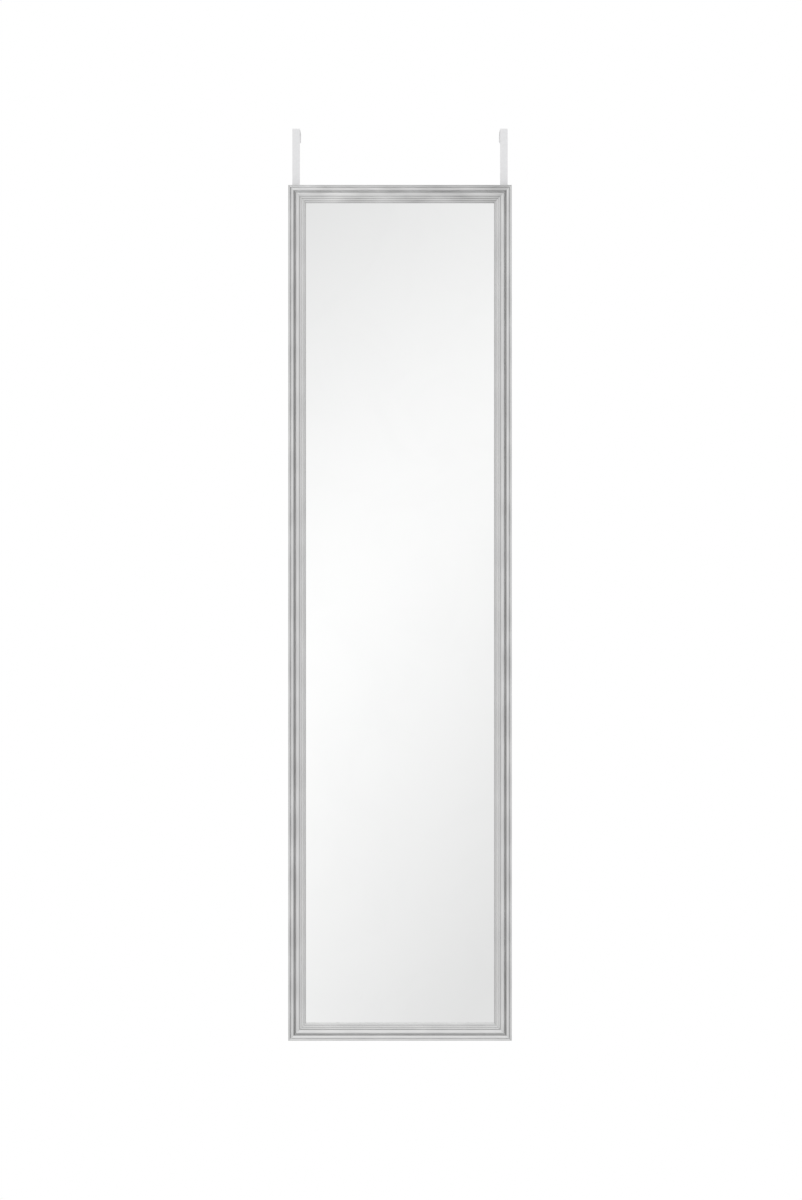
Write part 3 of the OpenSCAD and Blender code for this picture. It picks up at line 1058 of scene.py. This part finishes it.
def make_pad():
    """The left hook's foam pad, a little crowned, with soft edges."""
    low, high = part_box("hook_left_pad")
    inset = Vector((PAD_CROWN, 0, PAD_CROWN))
    piece = block("foam_left", low + inset, high - inset)
    edit(piece)
    select_where("EDGE", lambda edge: True)
    bpy.ops.mesh.bevel(offset=PAD_EDGE, segments=3, affect="EDGES")
    for _ in range(PAD_PASSES):
        select_whole_mesh()
        bpy.ops.mesh.subdivide(number_cuts=PAD_CUTS)
    middle = (low + high) / 2
    half = (high - low) / 2
    for vertex in edit_mesh().verts:
        across = 1 - ((vertex.co.y - middle.y) / half.y) ** 2
        for axis in (0, 2):
            outward = (vertex.co[axis] - middle[axis]) / half[axis]
            vertex.co[axis] += PAD_CROWN * across * outward ** PAD_CROWN_POWER
    bmesh.update_edit_mesh(piece.data)
    smooth(piece, sharper_than=60)
    finish_with(piece, closed_cell_foam)
    return piece


def make_hooks():
    to_right = X_AXIS * (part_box("hook_right")[0].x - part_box("hook_left")[0].x)
    left_strap = make_strap()
    left_pad = make_pad()
    right_strap = copy_of(left_strap, "strap_right", to_right)
    right_pad = copy_of(left_pad, "foam_right", to_right)
    for side, strap, pad in (("left", left_strap, left_pad), ("right", right_strap, right_pad)):
        hand_over(strap, side + "_hook", "hook", "hook_" + side)
        hand_over(pad, side + "_hook", "foam", "hook_" + side + "_pad")


# ------------------------------------ the hook screws and washers
def make_screw(centre):
    """One screw, driven towards -Y, with the underside of its head at centre."""
    def at(radius, depth):
        return centre + Vector((radius, depth, 0))

    core = SCREW_CORE_D / 2
    head = SCREW_HEAD_D / 2
    piece = start_outline("screw", at(0, -SCREW_L))
    line_to(at(SCREW_TIP_R, SCREW_TIP_BLUNT - SCREW_L))
    line_to(at(core, SCREW_TIP - SCREW_L))
    line_to(at(core, -THREAD_START))
    line_to(at(SCREW_D / 2, -SCREW_NECK))
    line_to(at(SCREW_D / 2, 0))
    line_to(at(head - WASHER_EASE, 0))
    line_to(at(head, WASHER_EASE))
    line_to(at(head, SCREW_HEAD_WALL))
    arc(at(head - SCREW_HEAD_EDGE, SCREW_HEAD_WALL), Z_AXIS, -SCREW_HEAD_BEND, SCREW_HEAD_STEPS)
    line_to(at(SCREW_CROWN_R, SCREW_CROWN_H))
    line_to(at(0, SCREW_HEAD_H))
    spin_outline(centre, Y_AXIS)
    mouth = at(0, SCREW_HEAD_H)
    half = Vector((RECESS_L / 2, RECESS_D, RECESS_W / 2))
    for degrees in (0, 90):
        cutter = block("recess_cutter", mouth - half, mouth + half)
        edit(cutter)
        select_where("VERT", lambda vertex: vertex.co.y < mouth.y)
        bpy.ops.transform.resize(value=(RECESS_TAPER, 1, RECESS_TAPER), center_override=mouth)
        clear_selection()
        turn(cutter, degrees, mouth)
        cut_with(piece, cutter)
    piece = join("screw", [piece, make_thread(centre)])
    smooth(piece)
    finish_with(piece, zinc_plate)
    return piece


def make_thread(centre):
    """A triangular ridge that climbs round the screw's core."""
    foot = -THREAD_START - THREAD_TURNS * THREAD_PITCH
    piece = start_outline("thread", centre + Vector((THREAD_ROOT_R, foot, 0)))
    line_to(centre + Vector((SCREW_D / 2, foot + THREAD_W / 2, 0)))
    line_to(centre + Vector((THREAD_ROOT_R, foot + THREAD_W, 0)))
    close_outline()
    bpy.ops.mesh.delete(type="ONLY_FACE")
    select_whole_mesh()
    move_selected(-centre)
    clear_selection()
    apply_modifier(
        piece, "SCREW", axis="Y", angle=FULL_TURN, screw_offset=THREAD_PITCH,
        iterations=THREAD_TURNS, steps=THREAD_STEPS, render_steps=THREAD_STEPS,
        use_merge_vertices=True,
    )
    edit(piece)
    select_whole_mesh()
    bpy.ops.mesh.fill_holes(sides=4)
    close_up_mesh()
    move_selected(centre)
    clear_selection()
    return piece


def make_washer(low, high):
    """A flat washer between two corners of its box, with its edges eased."""
    middle = (low + high) / 2
    radius = (high.x - low.x) / 2
    bore = WASHER_BORE_D / 2

    def at(distance, y):
        return Vector((middle.x + distance, y, middle.z))

    piece = start_outline("washer", at(bore, low.y))
    for distance, y in ((radius, low.y), (radius, high.y), (bore, high.y)):
        line_to(at(distance, y))
    close_outline()
    round_outline_corners(WASHER_EASE, segments=2, sharper_than=30)
    select_whole_mesh()
    bpy.ops.mesh.delete(type="ONLY_FACE")
    spin_outline(middle, Y_AXIS)
    smooth(piece)
    finish_with(piece, zinc_plate)
    return piece


def make_fasteners():
    """Two screws and two washers for each hook, each screw stopped at its own angle."""
    screws_low, screws_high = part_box("hook_left_screws")
    washers_low, washers_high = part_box("hook_left_washers")
    radius = SCREW_HEAD_D / 2
    lower = Vector(((screws_low.x + screws_high.x) / 2, washers_high.y, screws_low.z + radius))
    pitch = Z_AXIS * (screws_high.z - screws_low.z - 2 * radius)
    washer_top = washers_low.z + washers_high.x - washers_low.x
    screw = make_screw(lower)
    washer = make_washer(washers_low, Vector((washers_high.x, washers_high.y, washer_top)))
    to_right = X_AXIS * (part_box("hook_right_screws")[0].x - screws_low.x)
    for side, shift in (("left", Vector()), ("right", to_right)):
        screws = [copy_of(screw, "screw", shift), copy_of(screw, "screw", shift + pitch)]
        for driven, stop, rise in zip(screws, SCREW_STOPS[side], (Vector(), pitch)):
            turn(driven, stop, lower + shift + rise)
        washers = [copy_of(washer, "washer", shift), copy_of(washer, "washer", shift + pitch)]
        for kind, pair in (("screws", screws), ("washers", washers)):
            piece = join(kind + "_" + side, pair)
            hand_over(piece, "frame", "screw", "hook_" + side + "_" + kind)
    bpy.data.objects.remove(screw)
    bpy.data.objects.remove(washer)


# ------------------------------------ the door bumpers
def make_bumpers():
    low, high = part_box("bumper_left")
    middle = (low + high) / 2
    radius = (high.x - low.x) / 2
    shoulder = radius - BUMPER_DRAFT

    def at(distance, y):
        return Vector((middle.x + distance, y, middle.z))

    left = start_outline("bumper_dot_left", at(0, low.y))
    line_to(at(radius, low.y))
    line_to(at(shoulder, high.y - BUMPER_EDGE))
    bend = at(shoulder - BUMPER_EDGE, high.y - BUMPER_EDGE)
    arc(bend, Z_AXIS, -QUARTER_TURN, BUMPER_STEPS)
    line_to(at(0, high.y))
    spin_outline(middle, Y_AXIS)
    smooth(left)
    finish_with(left, frosted_plastic)
    to_right = X_AXIS * (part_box("bumper_right")[0].x - low.x)
    right = copy_of(left, "bumper_dot_right", to_right)
    hand_over(left, "frame", "bumper", "bumper_left")
    hand_over(right, "frame", "bumper", "bumper_right")


# ------------------------------------ the studio
def is_mirrored(tree, light_path):
    """1 for what metal, the mirror and clear surfaces see, and 0 for the rest."""
    return calculate(
        tree, "MAXIMUM", light_path["Is Glossy Ray"], light_path["Is Transmission Ray"],
    )


def make_floor():
    """A pale floor that shows the object's shadow to the camera and stays out of the metal."""
    clear_selection()
    bpy.ops.mesh.primitive_circle_add(
        vertices=FLOOR_SIDES, radius=FLOOR_R, fill_type="NGON", location=(0, 0, FLOOR_Z),
    )
    floor = bpy.context.object
    floor.name = "studio_floor"
    material, tree, shader, place = new_material("pale_floor")
    paint(tree, shader, grey(FLOOR_GREY), FLOOR_ROUGHNESS)
    distance = add_node(tree, "VectorMath", {"Vector": place}, operation="LENGTH").outputs["Value"]
    whitened = remap(tree, distance, 0.0, SHADOW_REACH, SHADOW_VEIL, 1.0)
    white = add_node(tree, "Emission", {"Color": grey(1.0), "Strength": 1.0})
    light_path = add_node(tree, "LightPath").outputs
    shadowed = mix_shaders(tree, whitened, shader, white)
    seen = mix_shaders(tree, light_path["Is Camera Ray"], shader, shadowed)
    clear = add_node(tree, "BsdfTransparent")
    final = mix_shaders(tree, is_mirrored(tree, light_path), seen, clear)
    tree.links.new(final.outputs[0], tree.nodes["Material Output"].inputs["Surface"])
    finish_with(floor, material)


def make_world():
    """White behind the object. Metal sees a slanting band of glow ahead and soft greys around."""
    world = bpy.data.worlds.new("studio")
    bpy.context.scene.world = world
    world.use_nodes = True
    tree = world.node_tree
    way = add_node(tree, "TexCoord").outputs["Generated"]
    axes = add_node(tree, "SeparateXYZ", {"Vector": way}).outputs
    ahead = calculate(tree, "MAXIMUM", product(tree, axes["Y"], -1.0), LOWEST_AHEAD)
    aside = calculate(tree, "DIVIDE", axes["X"], ahead)
    above = calculate(tree, "DIVIDE", axes["Z"], ahead)

    def squared(value):
        return product(tree, value, value)

    off_band = total(
        tree, GLOW_SHIFT, product(tree, aside, math.cos(GLOW_SLANT)),
        product(tree, above, -math.sin(GLOW_SLANT)),
    )
    reach = calculate(tree, "SQRT", total(tree, squared(off_band), GLOW_WAIST ** 2))
    spread = calculate(tree, "SQRT", total(tree, squared(aside), squared(above)))
    glow = total(
        tree, GLOW_PEAK + GLOW_FALL * GLOW_WAIST, product(tree, reach, -GLOW_FALL),
        product(tree, aside, -GLOW_SIDE_FALL), product(tree, above, -GLOW_RISE_FALL),
        remap(tree, spread, GLOW_INNER, GLOW_OUTER, 0.0, -GLOW_FADE),
    )
    rise = remap(tree, axes["Z"], -HIGH_Z, HIGH_Z, SEEN_BELOW, SEEN_HIGH)
    drop = remap(tree, axes["Z"], HIGH_Z, OVERHEAD_Z, 0.0, SEEN_OVERHEAD - SEEN_HIGH)
    brighter = calculate(tree, "MAXIMUM", glow, total(tree, rise, drop))
    tone = calculate(tree, "MINIMUM", brighter, GLOW_MOST)
    reflected = calculate(tree, "POWER", tone, DISPLAY_GAMMA)
    room = total(
        tree, ROOM_LEVEL, product(tree, axes["Y"], -ROOM_FROM_AHEAD),
        product(tree, axes["Z"], ROOM_FROM_ABOVE),
    )
    light_path = add_node(tree, "LightPath").outputs
    lit = between(tree, is_mirrored(tree, light_path), room, reflected)
    background = tree.nodes["Background"]
    feed(tree, background.inputs["Color"], grey(1.0))
    feed(tree, background.inputs["Strength"], between(tree, light_path["Is Camera Ray"], lit, 1.0))


def make_softboxes():
    for name, (place, width, height, watts) in SOFTBOXES.items():
        lamp = bpy.data.lights.new(name, "AREA")
        lamp.shape = "RECTANGLE"
        lamp.size = width
        lamp.size_y = height
        lamp.energy = watts
        holder = bpy.data.objects.new(name, lamp)
        bpy.context.scene.collection.objects.link(holder)
        holder.location = place
        aim = Vector(FRAME_MIDDLE) - Vector(place)
        holder.rotation_euler = aim.to_track_quat("-Z", "Y").to_euler()
        holder.visible_camera = False


def make_camera():
    """About level with the middle of the mirror, and looking straight at it."""
    data = bpy.data.cameras.new("camera")
    data.sensor_width = SENSOR
    data.lens = CAMERA_LENS
    camera = bpy.data.objects.new("camera", data)
    bpy.context.scene.collection.objects.link(camera)
    camera.location = CAMERA_PLACE
    camera.rotation_euler = (QUARTER_TURN, 0, 0)
    bpy.context.scene.camera = camera


# ------------------------------------ the whole scene
make_camera()
make_frame()
make_corner_nails()
make_glass()
make_board()
make_retaining_points()
make_hooks()
make_fasteners()
make_bumpers()
make_floor()
make_world()
make_softboxes()
bpy.context.scene.view_settings.view_transform = "Standard"
